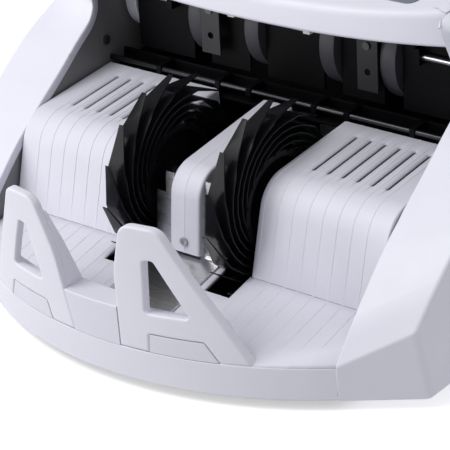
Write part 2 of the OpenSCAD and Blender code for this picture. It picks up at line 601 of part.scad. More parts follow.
base_pan();
front_lip();
left_cheek();
right_cheek();
rear_cover();
top_cover();
stacker_tray();
front_wall();
left_guard();
right_guard();
left_delivery_plate();
right_delivery_plate();
bridge();
bridge_bracket();
bridge_screw();
left_side_frame();
right_side_frame();
tie_rods();
panel_screws();
exit_comb();
exit_rod();
lower_guide();
upper_guide();
separator_straps();
head_plate();
guide_rods();
uv_lamp();
left_stacker_wheel();
right_stacker_wheel();
stacker_shaft();
stacker_pulley();
stacker_belt();
stacker_motor();
stacker_motor_pulley();
counting_shaft();
counting_drums();
counting_pulley();
pickup_shaft();
pickup_rollers();
pickup_belt();
pinch_shaft();
pinch_rollers();
main_motor();
main_motor_pulley();
main_belt();
shaft_bushes();
main_board();
transformer();
display_panel();
display_window();
key_restart();
key_function();
key_batch();
adjusting_knob();
hopper_plate();
left_note_guide();
right_note_guide();
power_inlet();
power_switch();
rubber_feet();
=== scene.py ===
import math
import bpy
import bmesh
from mathutils import Matrix, Vector
from mathutils.geometry import tessellate_polygon


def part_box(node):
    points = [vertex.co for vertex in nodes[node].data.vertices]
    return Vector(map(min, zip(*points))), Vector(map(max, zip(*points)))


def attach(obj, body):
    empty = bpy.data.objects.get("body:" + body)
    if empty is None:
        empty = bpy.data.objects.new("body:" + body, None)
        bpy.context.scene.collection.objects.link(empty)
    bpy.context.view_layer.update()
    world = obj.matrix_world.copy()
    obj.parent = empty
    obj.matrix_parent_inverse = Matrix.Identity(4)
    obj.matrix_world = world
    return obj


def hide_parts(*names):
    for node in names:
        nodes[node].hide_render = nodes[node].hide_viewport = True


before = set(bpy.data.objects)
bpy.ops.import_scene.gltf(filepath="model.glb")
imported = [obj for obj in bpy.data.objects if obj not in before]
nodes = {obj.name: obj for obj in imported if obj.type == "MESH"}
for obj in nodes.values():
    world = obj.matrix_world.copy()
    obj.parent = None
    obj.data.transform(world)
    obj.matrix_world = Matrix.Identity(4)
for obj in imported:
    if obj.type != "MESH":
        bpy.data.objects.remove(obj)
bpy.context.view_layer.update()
scene = bpy.context.scene

# The datum is the line where the tray floor meets the delivery plates, in the
# middle plane. The centre of the right wheel lies at WHEEL millimetres from it.
WHEEL = Vector((31.67, 28.34, 28.88))
shaft_lo, shaft_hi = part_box("stacker_shaft")
shaft = (shaft_lo + shaft_hi) / 2
DATUM = Vector((0, shaft.y - WHEEL.y / 1000, shaft.z - WHEEL.z / 1000))


def at(p):
    """A point in millimetres from the datum, as a place in metres in the frame."""
    return DATUM + Vector(p) / 1000


# ---- camera, light and floor ----
FORWARD = Vector((-0.56852, 0.69599, -0.43862))
RIGHT = Vector((0.78879, 0.61260, -0.05034))
UP = Vector((-0.23366, 0.37459, 0.89727))
CAMERA_PLACE = (640.63, -752.51, 499.02)
camera = bpy.data.objects.new("camera", bpy.data.cameras.new("camera"))
camera.data.lens = 176.0
camera.data.sensor_width = 36
camera.data.clip_start = 0.05
camera.matrix_world = Matrix.Translation(at(CAMERA_PLACE)) @ Matrix((
    (RIGHT.x, UP.x, -FORWARD.x, 0), (RIGHT.y, UP.y, -FORWARD.y, 0),
    (RIGHT.z, UP.z, -FORWARD.z, 0), (0, 0, 0, 1)))
scene.collection.objects.link(camera)
scene.camera = camera
scene.view_settings.view_transform = "Standard"


def area_light(name, place, target, size, power):
    """A round lamp of a size in metres and a power in watts."""
    data = bpy.data.lights.new(name, "AREA")
    data.shape = "DISK"
    data.size = size
    data.energy = power
    lamp = bpy.data.objects.new(name, data)
    lamp.location = place
    lamp.rotation_euler = (Vector(target) - Vector(place)).to_track_quat("-Z", "Y").to_euler()
    scene.collection.objects.link(lamp)


area_light("key_light", (-0.52, -0.88, 1.40), (0, -0.02, 0.08), 0.9, 14.5)
area_light("front_light", (-1.0, -1.3, 0.25), (0, 0, 0.08), 1.0, 9.5)
area_light("side_light", (1.7, 0.35, 0.5), (0, 0, 0.08), 1.2, 2.2)
world = bpy.data.worlds.new("studio")
world.use_nodes = True
world.node_tree.nodes["Background"].inputs["Color"].default_value = (0.97, 0.97, 1, 1)
world.node_tree.nodes["Background"].inputs["Strength"].default_value = 0.53
scene.world = world


# ---- materials ----
COLOUR_PATCHES = 45     # noise scale of the change in colour
GLOSS_PATCHES = 160     # noise scale of the change in roughness


def material(name, colour, rough, metal=0.0, spread=0.0, grain=0.0, grain_scale=2500.0,
             stretch=(1, 1, 1), rough_spread=0.0, **sockets):
    """Principled surface whose colour, roughness and height vary with procedural noise."""
    m = bpy.data.materials.new(name)
    m.use_nodes = True
    tree = m.node_tree
    shader = tree.nodes["Principled BSDF"]
    shader.inputs["Metallic"].default_value = metal
    shader.inputs["Roughness"].default_value = rough
    for key, value in sockets.items():
        shader.inputs[key.replace("_", " ")].default_value = value
    place = tree.nodes.new("ShaderNodeTexCoord")
    scaled = tree.nodes.new("ShaderNodeMapping")
    scaled.inputs["Scale"].default_value = stretch
    tree.links.new(place.outputs["Object"], scaled.inputs["Vector"])

    def noise(scale, detail):
        n = tree.nodes.new("ShaderNodeTexNoise")
        n.inputs["Scale"].default_value = scale
        n.inputs["Detail"].default_value = detail
        tree.links.new(scaled.outputs["Vector"], n.inputs["Vector"])
        return n.outputs["Fac"]

    ramp = tree.nodes.new("ShaderNodeValToRGB")
    ramp.color_ramp.elements[0].position = 0.3
    ramp.color_ramp.elements[1].position = 0.7
    for element, k in zip(ramp.color_ramp.elements, (1 - spread, 1 + spread)):
        element.color = (*[min(1, c * k) for c in colour], 1)
    tree.links.new(noise(COLOUR_PATCHES, 3), ramp.inputs["Fac"])
    tree.links.new(ramp.outputs["Color"], shader.inputs["Base Color"])
    if rough_spread:
        change = tree.nodes.new("ShaderNodeMapRange")
        change.inputs["To Min"].default_value = rough - rough_spread
        change.inputs["To Max"].default_value = rough + rough_spread
        tree.links.new(noise(GLOSS_PATCHES, 2), change.inputs["Value"])
        tree.links.new(change.outputs["Result"], shader.inputs["Roughness"])
    if grain:
        bump = tree.nodes.new("ShaderNodeBump")
        bump.inputs["Strength"].default_value = 1
        bump.inputs["Distance"].default_value = grain
        tree.links.new(noise(grain_scale, 2), bump.inputs["Height"])
        tree.links.new(bump.outputs["Normal"], shader.inputs["Normal"])
    return m


casing = material("casing_white", (0.72, 0.72, 0.80), 0.46, spread=0.012, grain=2.2e-5, grain_scale=1700,
                  rough_spread=0.05)
tray_white = material("tray_white", (0.68, 0.68, 0.76), 0.5, spread=0.012, grain=1.5e-5, grain_scale=1700,
                      rough_spread=0.05)
pale_key = material("pale_grey_key", (0.60, 0.60, 0.66), 0.40, spread=0.02, grain=2e-5, rough_spread=0.04)
wheel_black = material("wheel_black", (0.007, 0.007, 0.009), 0.22, spread=0.1, grain=1.5e-5, grain_scale=500,
                       rough_spread=0.06, Specular_IOR_Level=0.12)
plastic_black = material("black_plastic", (0.012, 0.012, 0.014), 0.34, spread=0.15, grain=3e-5,
                         grain_scale=1200, rough_spread=0.06)
# Near black, darker than the sheets' own paint: its colour paints the shade inside the machine, seen through
# the wheel gaps and under the head.
painted_shade_black = material("black_sheet", (0.003, 0.003, 0.004), 0.5, spread=0.15, grain=4e-5,
                       grain_scale=900, rough_spread=0.08, Specular_IOR_Level=0.1)
strap_black = material("strap_black", (0.016, 0.016, 0.019), 0.42, spread=0.15, grain=3e-5,
                       grain_scale=900, rough_spread=0.08)
# Screw metal darkened below its own colour: it paints the shade the screws sit in under the head.
screw_painted_shade = material("screw_painted_shade", (0.10, 0.10, 0.105), 0.38, metal=0.8, spread=0.1, grain=2e-5,
                      grain_scale=900, rough_spread=0.06)
# Steel far darker than bare steel: its colour paints the shade and dark surroundings of the exit rod behind
# the plates.
rod_steel_painted_shade = material("rod_steel_painted_shade", (0.06, 0.06, 0.066), 0.38, metal=1.0, spread=0.05, grain=1e-5,
                     grain_scale=900, rough_spread=0.05)
drum_rubber = material("drum_rubber", (0.055, 0.054, 0.066), 0.55, spread=0.12, grain=5e-5,
                       grain_scale=1400, rough_spread=0.06)
belt_rubber = material("belt_rubber", (0.02, 0.02, 0.022), 0.62, spread=0.15, grain=8e-5,
                       grain_scale=900, rough_spread=0.06)
foot_rubber = material("foot_rubber", (0.018, 0.018, 0.02), 0.72, spread=0.15, grain=1e-4,
                       grain_scale=700, rough_spread=0.06)
stainless = material("stainless", (0.60, 0.60, 0.61), 0.27, metal=1.0, spread=0.02, grain=8e-6,
                     grain_scale=900, stretch=(0.03, 1, 1), rough_spread=0.04)
zinc = material("zinc_steel", (0.55, 0.56, 0.58), 0.32, metal=1.0, spread=0.06, grain=2e-5,
                grain_scale=600, rough_spread=0.08)
frame_grey = material("grey_frame", (0.17, 0.17, 0.175), 0.45, metal=0.2, spread=0.04, grain=3e-5,
                      grain_scale=1500, rough_spread=0.06)
bronze = material("bronze", (0.50, 0.34, 0.14), 0.4, metal=1.0, spread=0.08, grain=4e-5, rough_spread=0.06)
board = material("board_green", (0.02, 0.13, 0.06), 0.35, spread=0.15, grain=2e-5, rough_spread=0.05)
iron = material("transformer_iron", (0.16, 0.13, 0.10), 0.5, metal=0.6, spread=0.15, grain=8e-5,
                grain_scale=500, stretch=(1, 1, 8), rough_spread=0.08)
panel_grey = material("panel_grey", (0.155, 0.17, 0.205), 0.38, spread=0.04, grain=1.5e-5, rough_spread=0.04)
glass_dark = material("display_glass", (0.02, 0.028, 0.024), 0.08, spread=0.2, rough_spread=0.02,
                      Coat_Weight=0.6, Coat_Roughness=0.04)
lamp_glass = material("lamp_glass", (0.86, 0.85, 0.80), 0.22, spread=0.03, rough_spread=0.04)
switch_red = material("switch_red", (0.30, 0.012, 0.012), 0.30, spread=0.08, grain=1e-5, rough_spread=0.04)

floor_material = material("floor_white", (0.92, 0.92, 0.93), 0.8, spread=0.005, Emission_Strength=0.45)
floor_shader = floor_material.node_tree.nodes["Principled BSDF"]
floor_shader.inputs["Emission Color"].default_value = (1, 1, 1, 1)
bpy.ops.mesh.primitive_plane_add(size=14, location=(0, 0, 0))
floor = bpy.context.object
floor.name = "studio_floor"
floor.data.materials.append(floor_material)
floor.visible_diffuse = False   # the room lights the casing evenly from below as well


# ---- mesh building ----
WELD = 2e-6   # metres within which points are one
SIDES = (("right", False), ("left", True))   # names, and whether the piece is mirrored


def piece(name, points, faces, finish, body="machine", replaces=(), mirror=False, thick=0.0,
          flip=False, sharp=38, weld=True):
    """A mesh from points in millimetres from the datum; thick adds that much wall behind its faces."""
    mesh = bpy.data.meshes.new(name)
    sign = -1 if mirror else 1
    turned = mirror != flip
    mesh.from_pydata([at((sign * p[0], p[1], p[2])) for p in points], [],
                     [tuple(reversed(f)) if turned else tuple(f) for f in faces])
    work = bmesh.new()
    work.from_mesh(mesh)
    if weld:
        bmesh.ops.remove_doubles(work, verts=work.verts, dist=WELD)
    loose = [v for v in work.verts if not v.link_faces]
    bmesh.ops.delete(work, geom=loose, context="VERTS")
    if thick == 0:
        bmesh.ops.recalc_face_normals(work, faces=work.faces)
    work.to_mesh(mesh)
    work.free()
    obj = bpy.data.objects.new(name, mesh)
    scene.collection.objects.link(obj)
    if thick:
        wall = obj.modifiers.new("wall", "SOLIDIFY")
        wall.thickness = thick / 1000
        wall.offset = -1
    even = obj.modifiers.new("even", "WEIGHTED_NORMAL")
    even.keep_sharp = True
    mesh.shade_smooth()
    mesh.set_sharp_from_angle(angle=math.radians(sharp))
    mesh.materials.append(finish)
    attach(obj, body)
    if replaces:
        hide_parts(*replaces)


def grid(rows, keep=lambda i, j: True, closed=False):
    """Points and faces of a net of rows; keep says which cells have a face."""
    n = len(rows[0])
    points = [p for row in rows for p in row]
    faces = []
    for i in range(len(rows) - 1):
        for j in range(n if closed else n - 1):
            if keep(i, j):
                k = (j + 1) % n
                faces.append((i * n + j, i * n + k, (i + 1) * n + k, (i + 1) * n + j))
    return points, faces


def joined(*parts):
    """Several sets of points and faces as one."""
    points, faces = [], []
    for p, f in parts:
        base = len(points)
        points += list(p)
        faces += [tuple(base + i for i in face) for face in f]
    return points, faces


def loft(rings):
    """Closed rings joined into a solid with flat ends."""
    n = len(rings[0])
    points, faces = grid(rings, closed=True)
    faces.append(tuple(range(n)))
    faces.append(tuple(range(len(points) - n, len(points)))[::-1])
    return points, faces


def arc_corner(a, b, c, r, n):
    """Points of an arc of radius r that rounds the corner a, b, c in a plane."""
    a, b, c = Vector(a), Vector(b), Vector(c)
    u, v = (a - b).normalized(), (c - b).normalized()
    half = math.acos(max(-1, min(1, u.dot(v)))) / 2
    mid = b + (u + v).normalized() * r / math.sin(half)
    p, q = b + u * r / math.tan(half) - mid, b + v * r / math.tan(half) - mid
    start = math.atan2(p.y, p.x)
    sweep = math.atan2(q.y, q.x) - start
    sweep -= 2 * math.pi * round(sweep / (2 * math.pi))
    return [mid + r * Vector((math.cos(start + sweep * i / n), math.sin(start + sweep * i / n)))
            for i in range(n + 1)]


def bend(a, b, c, n=4):
    """Points of a soft corner from a to c that leans on b."""
    a, b, c = Vector(a), Vector(b), Vector(c)
    return [a * (1 - t) ** 2 + b * 2 * t * (1 - t) + c * t * t for t in [i / n for i in range(n + 1)]]


def normals(path):
    """Unit side vectors of a path in the Y-Z plane, to its left."""
    out = []
    for i in range(len(path)):
        d = path[min(i + 1, len(path) - 1)] - path[max(i - 1, 0)]
        out.append(Vector((-d.y, d.x)).normalized())
    return out


def round_section(corners, radii, n=3):
    """A closed outline with each corner softened over its radius."""
    out = []
    for i, (c, r) in enumerate(zip(corners, radii)):
        a, b = Vector(corners[i - 1]), Vector(corners[(i + 1) % len(corners)])
        p = Vector(c)
        if r:
            out += [tuple(q) for q in bend(p + (a - p).normalized() * r, p, p + (b - p).normalized() * r, n)]
        else:
            out.append(tuple(p))
    return out


def strip(path, section):
    """A section of (across, out) carried along a path in the Y-Z plane."""
    side = normals(path)
    rings = [[(x, p.x + n.x * d, p.y + n.y * d) for x, d in section] for p, n in zip(path, side)]
    return loft(rings)


def softened(points, reach, n=4):
    """A line whose corners are softened, each over its reach along both sides."""
    out = [Vector(points[0])]
    for i in range(1, len(points) - 1):
        a, b, c = Vector(points[i - 1]), Vector(points[i]), Vector(points[i + 1])
        ra, rc = min(0.5, reach[i] / (a - b).length), min(0.5, reach[i] / (c - b).length)
        out += bend(b.lerp(a, ra), b, b.lerp(c, rc), n)
    out.append(Vector(points[-1]))
    return out


def inset(loop, d):
    """A loop moved to its left by d."""
    out = []
    n = len(loop)
    for i in range(n):
        a, b, c = Vector(loop[i - 1]), Vector(loop[i]), Vector(loop[(i + 1) % n])
        u, v = (b - a).normalized(), (c - b).normalized()
        p, q = Vector((-u.y, u.x)), Vector((-v.y, v.x))
        m = (p + q) / max(0.35, 1 + p.dot(q))
        out.append(tuple(b + m * d))
    return out


def rounded_loop(corners, radii, n=7):
    """A closed outline with true arcs at its corners."""
    out = []
    for i, (c, r) in enumerate(zip(corners, radii)):
        if r:
            out += [tuple(p) for p in arc_corner(corners[i - 1], c, corners[(i + 1) % len(corners)], r, n)]
        else:
            out.append(c)
    return out


def turned_left(loop):
    """A loop in the sense that has its inside on the left."""
    area = sum(a[0] * b[1] - b[0] * a[1] for a, b in zip(loop, loop[1:] + loop[:1]))
    return loop if area > 0 else loop[::-1]


CUT_PITCH = 4   # width of the slices that let a flat slab follow a curve


def fence(outer, holes, front, back, r, project):
    """A slab between two depths with rounded edges, from outlines in X-Z; project places (x, z, depth)."""
    layers = [(r, front), (0.55 * r, front + 0.12 * r), (0.2 * r, front + 0.4 * r), (0, front + r),
              (0, back - r), (0.2 * r, back - 0.4 * r), (0.55 * r, back - 0.12 * r), (r, back)]
    work = bmesh.new()
    caps = {0: [], len(layers) - 1: []}
    for loop, sense in [(turned_left(outer), 1)] + [(turned_left(h), -1) for h in holes]:
        rings = []
        for d, depth in layers:
            rings.append([work.verts.new((x, depth, z)) for x, z in inset(loop, sense * d)])
        for a, b in zip(rings, rings[1:]):
            for i in range(len(a)):
                k = (i + 1) % len(a)
                work.faces.new((a[i], a[k], b[k], b[i]))
        for k in caps:
            caps[k].append(rings[k])
    for rings in caps.values():
        flat = [v for ring in rings for v in ring]
        for tri in tessellate_polygon([[Vector((v.co.x, v.co.z, 0)) for v in ring] for ring in rings]):
            work.faces.new([flat[i] for i in tri])
    xs = [v.co.x for v in work.verts]
    x = min(xs) + CUT_PITCH
    while x < max(xs):
        bmesh.ops.bisect_plane(work, geom=work.verts[:] + work.edges[:] + work.faces[:], dist=1e-4,
                               plane_co=(x, 0, 0), plane_no=(1, 0, 0))
        x += CUT_PITCH
    work.verts.index_update()
    points = [project(v.co.x, v.co.z, v.co.y) for v in work.verts]
    faces = [tuple(v.index for v in f.verts) for f in work.faces]
    work.free()
    return points, faces


# ---- the surfaces that the parts follow ----
CONE_Y = 120.2         # axis of the leaning cone of the front
PITCH = 8.7            # from one rib line to the next
FLOOR_SLOPE = math.tan(math.radians(12.4))
COVER_SLOPE = 0.238


def cone_r(z):
    return 192.94 + 0.1467 * z


def on_cone(x, z, depth=0.0):
    """A point on the front cone, or depth behind it."""
    return (x, CONE_Y - math.sqrt((cone_r(z) - depth) ** 2 - x * x), z)


def floor_z(y):
    """Height of the tray floor."""
    return y * FLOOR_SLOPE


def cover_z(y):
    """Height of the sloping top of the head."""
    return 126 + COVER_SLOPE * (y - 57)


def lip_y(x):
    """Front of the head's lip, which bows back to the sides."""
    return 51 + 11.3 * (x / 100) ** 2 + 3.4 * (x / 100) ** 4


# Section of a rib line: place across it, and height
RIDGE = [(-0.38, 0.0), (-0.14, 0.20), (0.14, 0.20), (0.38, 0.0)]


# ---- delivery plates: ribbed sheet with six slots and a rounded inner edge ----
GAP_OUT = 40.3                  # inner edge of the plates, and outer side of the wheel gaps
END_X = 115.9                   # outer end of the plates and the tray
SLOTS = [(k + 0.5) * PITCH for k in range(6, 12)]
SLOT_ENDS = (32.35, 71.6)       # where a slot starts and ends, along Y
SLOT_FULL = (33.4, 70.55)       # where it has its full width
SLOT_HALF, SLOT_FLAT = 1.1, 0.5   # half its width, and half that of its flat ends
NEAR = 0.01


def plate_path():
    """Section of a plate, from the tray up and back, with points where the slots change."""
    end = Vector((82, 53.4))
    path = [Vector((0, 0.1)), Vector((4.4, 16.6)), Vector((8.2, 31))]
    path += arc_corner((0, 0), (12.5, 47.2), end, 19.5, 14)
    start = path[-1]
    stops = [SLOT_ENDS[0], SLOT_FULL[0], 45, 58, SLOT_FULL[1], SLOT_ENDS[1]]
    path = [p for p in path if all(abs(p.x - s) > 0.5 for s in stops[:2])]
    curved = [s for s in stops if s <= start.x + 0.3]
    for s in curved:
        for i in range(len(path) - 1):
            if path[i].x < s < path[i + 1].x:
                t = (s - path[i].x) / (path[i + 1].x - path[i].x)
                path.insert(i + 1, path[i].lerp(path[i + 1], t))
                break
    flat = [start + (end - start) * ((s - start.x) / (end.x - start.x)) for s in stops if s not in curved]
    return path + flat + [end]


def delivery_plate(side, mirror):
    path = plate_path()
    marks = []
    for k in range(5, 13):
        marks += [(k * PITCH + dx, dz) for dx, dz in RIDGE]
    for s in SLOTS:
        marks += [(s + d, 0.0) for d in (-SLOT_HALF, -SLOT_FLAT, SLOT_FLAT, SLOT_HALF)]
    columns = [(GAP_OUT, -9.0), (GAP_OUT, -4.0), (GAP_OUT, -1.9), (40.55, -0.95), (41.25, -0.25), (42.2, 0.0)]
    columns += sorted(m for m in marks if m[0] > 42.3)
    columns += [(END_X - 0.3, 0.0), (END_X, -0.3), (END_X, -6.0)]
    rows = [[(x, p.x + n.x * d, p.y + n.y * d) for x, d in columns] for p, n in zip(path, normals(path))]
    ys = [p.x for p in path]

    def keep(i, j):
        x = (columns[j][0] + columns[j + 1][0]) / 2
        y = (ys[i] + ys[i + 1]) / 2
        for s in SLOTS:
            if abs(x - s) < SLOT_FLAT:
                return not SLOT_ENDS[0] < y < SLOT_ENDS[1]
            if abs(x - s) < SLOT_HALF:
                return not SLOT_FULL[0] < y < SLOT_FULL[1]
        return True

    points, faces = grid(rows, keep)
    n = len(columns)
    # At a slot's rounded ends a corner is taken off the cells on its left and right
    corner_off = {("first", "left"): 2, ("first", "right"): 3, ("last", "left"): 1, ("last", "right"): 0}
    for s in SLOTS:
        for i in range(len(ys) - 1):
            if abs(ys[i] - SLOT_ENDS[0]) < NEAR:
                end = "first"
            elif abs(ys[i] - SLOT_FULL[1]) < NEAR:
                end = "last"
            else:
                continue
            for j in range(n - 1):
                mid = (columns[j][0] + columns[j + 1][0]) / 2
                if SLOT_FLAT < abs(mid - s) < SLOT_HALF:
                    quad = (i * n + j, i * n + j + 1, (i + 1) * n + j + 1, (i + 1) * n + j)
                    drop = corner_off[(end, "left" if mid < s else "right")]
                    faces.remove(quad)
                    faces.append(tuple(v for k, v in enumerate(quad) if k != drop))
    piece(side + "_delivery_sheet", points, faces, tray_white, mirror=mirror, thick=2.0,
          replaces=(side + "_delivery_plate",), sharp=24)


for side, mirror in SIDES:
    delivery_plate(side, mirror)


# ---- tray floor ----
GAP_IN = 24.4          # inner side of the wheel gaps
FOOT_X = 17.3          # half width of the deep wall between the guards
FENCE_X = 66           # where the guards end and the rolled edge begins
GAP_ROWS = [-0.1, -5, -11, -17.7]   # rows along Y, to the front of the wheel gaps
FLAT_STEPS, ROLL_STEPS = 6, 7       # rows from there to the roll, and over it


def roll_start(x):
    """Where the flat of the floor ends, at x from the middle plane."""
    marks = [(0, -50), (66, -44.5), (69.6, -42.7), (78.3, -40.4), (87, -36.6), (95.7, -33.5), (104.4, -28.3),
             (111, -23.5), (116, -19)]
    for (x0, y0), (x1, y1) in zip(marks, marks[1:]):
        if x <= x1:
            return y0 + (y1 - y0) * (x - x0) / (x1 - x0)
    return marks[-1][1]


def front_edge(x):
    """Where the floor's roll starts and ends, or the plain edge behind the wall and guards."""
    if x < FENCE_X:
        depth = 13.5 if x < FOOT_X else 4.5
        y = CONE_Y - math.sqrt((cone_r(0) - depth) ** 2 - x ** 2)
        return y, y
    y = CONE_Y - math.sqrt(cone_r(-13.1) ** 2 - min(x, 114.3) ** 2) + 0.25
    return roll_start(x), (max(y, -31) if x > 114.5 else y)


def tray():
    marks = {20.9: 0.0, GAP_IN: 0.0, GAP_OUT: 0.0, END_X: 0.0, 114.4: 0.0}
    for k in range(3, 13):
        for dx, dz in RIDGE:
            marks[k * PITCH + dx] = dz
    for x in (17.31, 17.61, 57.01, 65.91, 66.41, 74.01, 80.71, 108.01, 111.01):
        marks[x] = 0.0
    xs = sorted(marks)
    xs = [-x for x in reversed(xs)] + [0.0] + xs
    last_gap = len(GAP_ROWS) - 1
    last_flat = last_gap + FLAT_STEPS

    def point(row, x):
        start, stop = front_edge(abs(x))
        rib = marks.get(abs(x), 0.0)
        if row <= last_flat:
            t = (row - last_gap) / FLAT_STEPS
            y = GAP_ROWS[row] if row <= last_gap else GAP_ROWS[-1] + (start - GAP_ROWS[-1]) * t
            return x, y, floor_z(y) + rib
        t = (row - last_flat) / ROLL_STEPS
        rib *= max(0.0, 1 - 2.5 * t)
        if abs(x) < FENCE_X:
            return x, start, floor_z(start) - t + rib
        run = FLOOR_SLOPE * (stop - start)
        drop = -12.9 - floor_z(start) - run
        return x, start + (stop - start) * t, floor_z(start) + run * t + drop * t * t + rib

    rows = [[point(row, x) for x in xs] for row in range(last_flat + ROLL_STEPS + 1)]

    def keep(i, j):
        x = abs(xs[j] + xs[j + 1]) / 2
        return not (GAP_IN < x < GAP_OUT and i < last_gap)

    points, faces = grid(rows, keep)
    piece("tray_floor", points, faces, tray_white, thick=2.2, replaces=("stacker_tray",),
          flip=True, sharp=24)


tray()


# ---- front lip and front wall: swept along the leaning cone ----
def swept(section, angles):
    """A closed section of (depth, height) carried round the cone."""
    rings = []
    for a in angles:
        rings.append([((cone_r(z) - d) * math.sin(a), CONE_Y - (cone_r(z) - d) * math.cos(a), z)
                      for d, z in section])
    return loft(rings)


def lip():
    """The band under the tray, from cheek to cheek."""
    section = round_section([(0, -32.3), (0, -13.25), (3, -13.25), (3, -32.3)], [1.2, 0.5, 0.3, 0.3])
    edge = math.asin(114.0 / cone_r(-22))
    points, faces = swept(section, [edge * (-1 + i / 24) for i in range(49)])
    piece("lip_band", points, faces, casing, replaces=("front_lip",))


lip()


def wall():
    """The deep wall between the guards, its thin wings, and the blocks that fill the guards' notches."""
    def edge_x(z):
        """Half the width of the deep wall at a height."""
        return 14.3 + 2.6 * (z + 12.95) / 26.95

    def wing_x(z, t):
        """Place along a wing at a height, from the deep wall (0) to the wing's end (1)."""
        return edge_x(z) - 0.4 + (62.5 - 11 * (z + 13) / 23) * t

    centre = round_section([(0, -12.9), (0, 10), (14.5, 10), (14.5, -15)], [0, 0.9, 0.9, 0])
    wing = [(5.15, -12.9), (5.15, 9), (7.5, 9), (7.5, -14)]
    notch = [(30.95, -12.95), (65.75, -12.95), (60.2, -2.2), (32.75, -2.4)]
    parts = [loft([[on_cone(edge_x(z) * (-1 + i / 4), z, d) for d, z in centre] for i in range(9)])]
    for s in (1, -1):
        parts.append(loft([[on_cone(s * wing_x(z, i / 16), z, d) for d, z in wing] for i in range(17)]))
        parts.append(fence(notch, [], 0.12, 5.3, 0.3, lambda x, z, d, s=s: on_cone(s * x, z, d)))
    points, faces = joined(*parts)
    piece("wall_band", points, faces, tray_white, replaces=("front_wall",), weld=False)


wall()


# ---- guards: A-shaped fences with rounded edges ----
GUARD = rounded_loop(
    [(14.4, -12.95), (17, 14), (18.5, 30), (27, 58.6), (46.5, 58.4), (58.1, 33.8), (71.5, 7.3),
     (80.8, -12.95), (66.1, -12.95), (60.4, -1.9), (32.5, -2.1), (30.7, -12.95)],
    [0, 30, 60, 8, 7, 60, 60, 0, 0, 1.2, 1.2, 0])
WINDOW = rounded_loop([(36.5, 40.1), (32.3, 9.9), (55.7, 10.4), (41.6, 40.8)], [2, 2, 2, 2], 4)
FIN = [(16.5, 9.2), (20.0, 9.2), (22.4, 34), (26.0, 50), (23.2, 50), (19.0, 32)]


def guard(side, mirror):
    def fin_place(x, z, d):
        """From just inside the fence (d = 0) to the fin's back (d = 10), which leans forward to its top."""
        back = 14.3 - 9.0 * max(0.0, z - 10) / 40
        return on_cone(x, z, 4.2 + (back - 4.2) * d / 10)

    slab = fence(GUARD, [WINDOW], 0.02, 5.0, 1.15, on_cone)
    fin = fence(FIN, [], 0.0, 10.0, 0.6, fin_place)
    points, faces = joined(slab, fin)
    piece(side + "_fence", points, faces, casing, mirror=mirror, replaces=(side + "_guard",),
          sharp=60)


for side, mirror in SIDES:
    guard(side, mirror)


# ---- cheeks: a ruled skin between the inner edge and the outer crease ----
# Its corners from the front foot, up and back to the rear foot: inner edge, outer
# crease, and how far the corner is softened along its two sides
CHEEK = [
    ((112.8, -30.4, -32.3), (149.1, -4.6, -32.3), 0),
    ((114.3, -33.5, -12.6), (147, -13.3, 6.8), 1.3),
    ((116.3, -24.6, 4.2), (149.5, -3.4, 21.6), 9),
    ((116.3, -15.3, 14.2), (151, 8.8, 35.2), 9),
    ((116.3, 2.6, 32.1), (152, 20, 45.5), 9),
    ((116.3, 24.1, 48.7), (153, 38.4, 59.6), 9),
    ((116.3, 36, 57), (153, 47.3, 66), 9),
    ((116.3, 47.4, 65.6), (153, 56.3, 72.3), 9),
    ((116.3, 55, 71.8), (153, 67.7, 77.9), 5),
    ((116.3, 68.8, 81.5), (153, 79.7, 83.3), 4),
    ((116.3, 72.2, 88), (153, 88, 88.5), 4),
    ((116.3, 71.5, 92.7), (153, 89.5, 95), 2.5),
    ((116.3, 60.2, 114.5), (153, 79, 114.5), 9),
    ((116.3, 53.2, 127.6), (153, 74, 125), 3),
    ((116.3, 56.4, 131.4), (153, 76, 129.5), 2.5),
    ((116.3, 66, 133.7), (153, 84, 133.5), 5),
    ((116.3, 140, 151.3), (153, 140, 147), 9),
    ((116.3, 156, 151.3), (153, 154, 147), 9),
    ((116.3, 165, 143), (153, 162, 140), 9),
    ((116.3, 165, -32.3), (153, 162, -32.3), 0),
]
HALF_W = 153                             # outer face of the cheeks
CHEEK_HUB = Vector((HALF_W, 125, 45))    # where the outer face is fanned from
RIM = 4.6                                # depth of the rim that turns in at the inner edge
EDGE, CREASE = 1.3, 3.2                  # how far the edge and the crease are softened


def cheek(side, mirror):
    inner_corners, outer_corners, reach = zip(*CHEEK)
    inner = softened(inner_corners, reach)
    outer = softened(outer_corners, reach)
    rows = []
    for i, (edge, crease) in enumerate(zip(inner, outer)):
        along = (crease - edge).normalized()
        run = inner[min(i + 1, len(inner) - 1)] - inner[max(i - 1, 0)]
        back = Vector((0, run.z, -run.y)).normalized()
        near = crease.lerp(CHEEK_HUB, 0.12)
        near.x = (crease.x + HALF_W) / 2
        far = crease.lerp(CHEEK_HUB, 0.45)
        far.x = HALF_W
        out = (near - crease).normalized()
        row = [edge + back * RIM - Vector((0.15, 0, 0))]
        row += bend(edge + back * EDGE, edge, edge + along * EDGE, 4)
        row += [edge.lerp(crease, 0.35), edge.lerp(crease, 0.7)]
        row += bend(crease - along * CREASE, crease, crease + out * CREASE, 5)
        row += [near, far, CHEEK_HUB]
        rows.append([tuple(p) for p in row])
    rows.append(rows[0])
    points, faces = grid(rows)
    piece(side + "_cheek_shell", points, faces, casing, mirror=mirror, thick=2.0,
          replaces=(side + "_cheek",), sharp=32)


for side, mirror in SIDES:
    cheek(side, mirror)


# ---- top cover ----
COVER_HALF, COVER_STEPS = 113.7, 60


